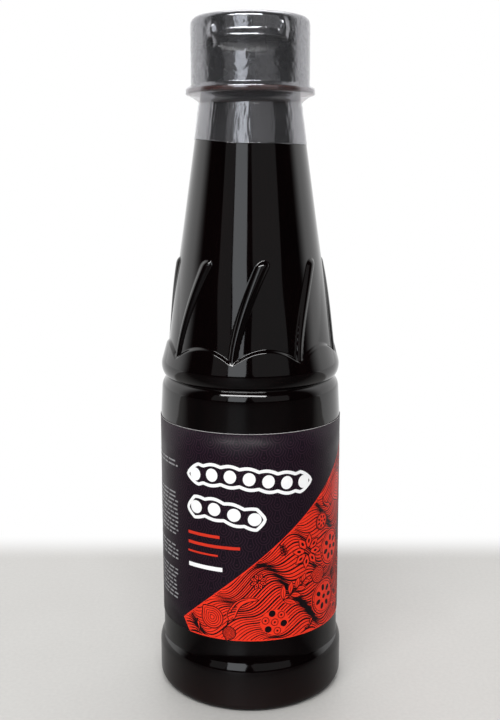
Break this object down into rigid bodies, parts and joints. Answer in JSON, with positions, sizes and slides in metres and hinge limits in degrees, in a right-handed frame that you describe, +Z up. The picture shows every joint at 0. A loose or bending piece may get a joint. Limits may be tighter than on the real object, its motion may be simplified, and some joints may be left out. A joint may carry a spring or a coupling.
{
  "type": "soy sauce bottle",
  "caption": "Shut small soy sauce bottle: dark tapered body with twisted ribs and a scalloped shoulder ring, flip-top cap under clear shrink film, wrap-round label",
  "frame": {"origin": "middle of the base, on the surface that the bottle stands on", "axes": "+Z up along the bottle's axis; -Y out of the front of the pack, where the label's main field and the thumb lip of the cap are; +X to the right of someone who looks at the front"},
  "size_m": [0.05, 0.05, 0.1756],
  "materials": {
    "bottle_plastic": "gloss",
    "sauce": "gloss",
    "cap_plastic": "gloss",
    "film": "gloss",
    "label_paper": "satin"
  },
  "bodies": {
    "root": {"bottle": "bottle_plastic", "sauce": "sauce", "cap_base": "cap_plastic", "cap_lid": "cap_plastic", "shrink_film": "film", "label": "label_paper"}
  },
  "joints": []
}
